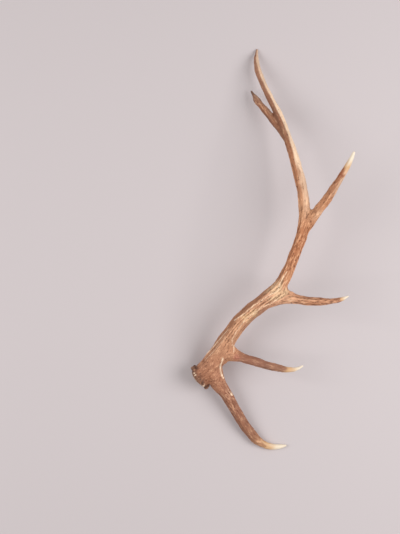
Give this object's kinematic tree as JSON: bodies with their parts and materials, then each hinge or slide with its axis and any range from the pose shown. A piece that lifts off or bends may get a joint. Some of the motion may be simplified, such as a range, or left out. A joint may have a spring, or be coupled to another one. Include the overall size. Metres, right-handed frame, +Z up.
{
  "type": "elk antler shed",
  "caption": "Cast elk antler lying with its outer side up: a rough burr, a long bowed and fluted beam, pointed brow, bez, trez and royal tines, and a forked crown.",
  "frame": {"origin": "middle of the footprint's box, on the surface that the antler lies on", "axes": "+Z up, +Y along the antler from the brow tine to the crown, +X the side that the tines point to"},
  "size_m": [0.4186, 1.086, 0.233],
  "materials": {
    "antler": "satin antler bone, brown furrows between paler ridges, polished ivory tips, dark rough burr"
  },
  "bodies": {
    "root": {"main_beam": "antler", "brow_tine": "antler", "bez_tine": "antler", "trez_tine": "antler", "royal_tine": "antler", "crown_tine": "antler"}
  },
  "joints": []
}
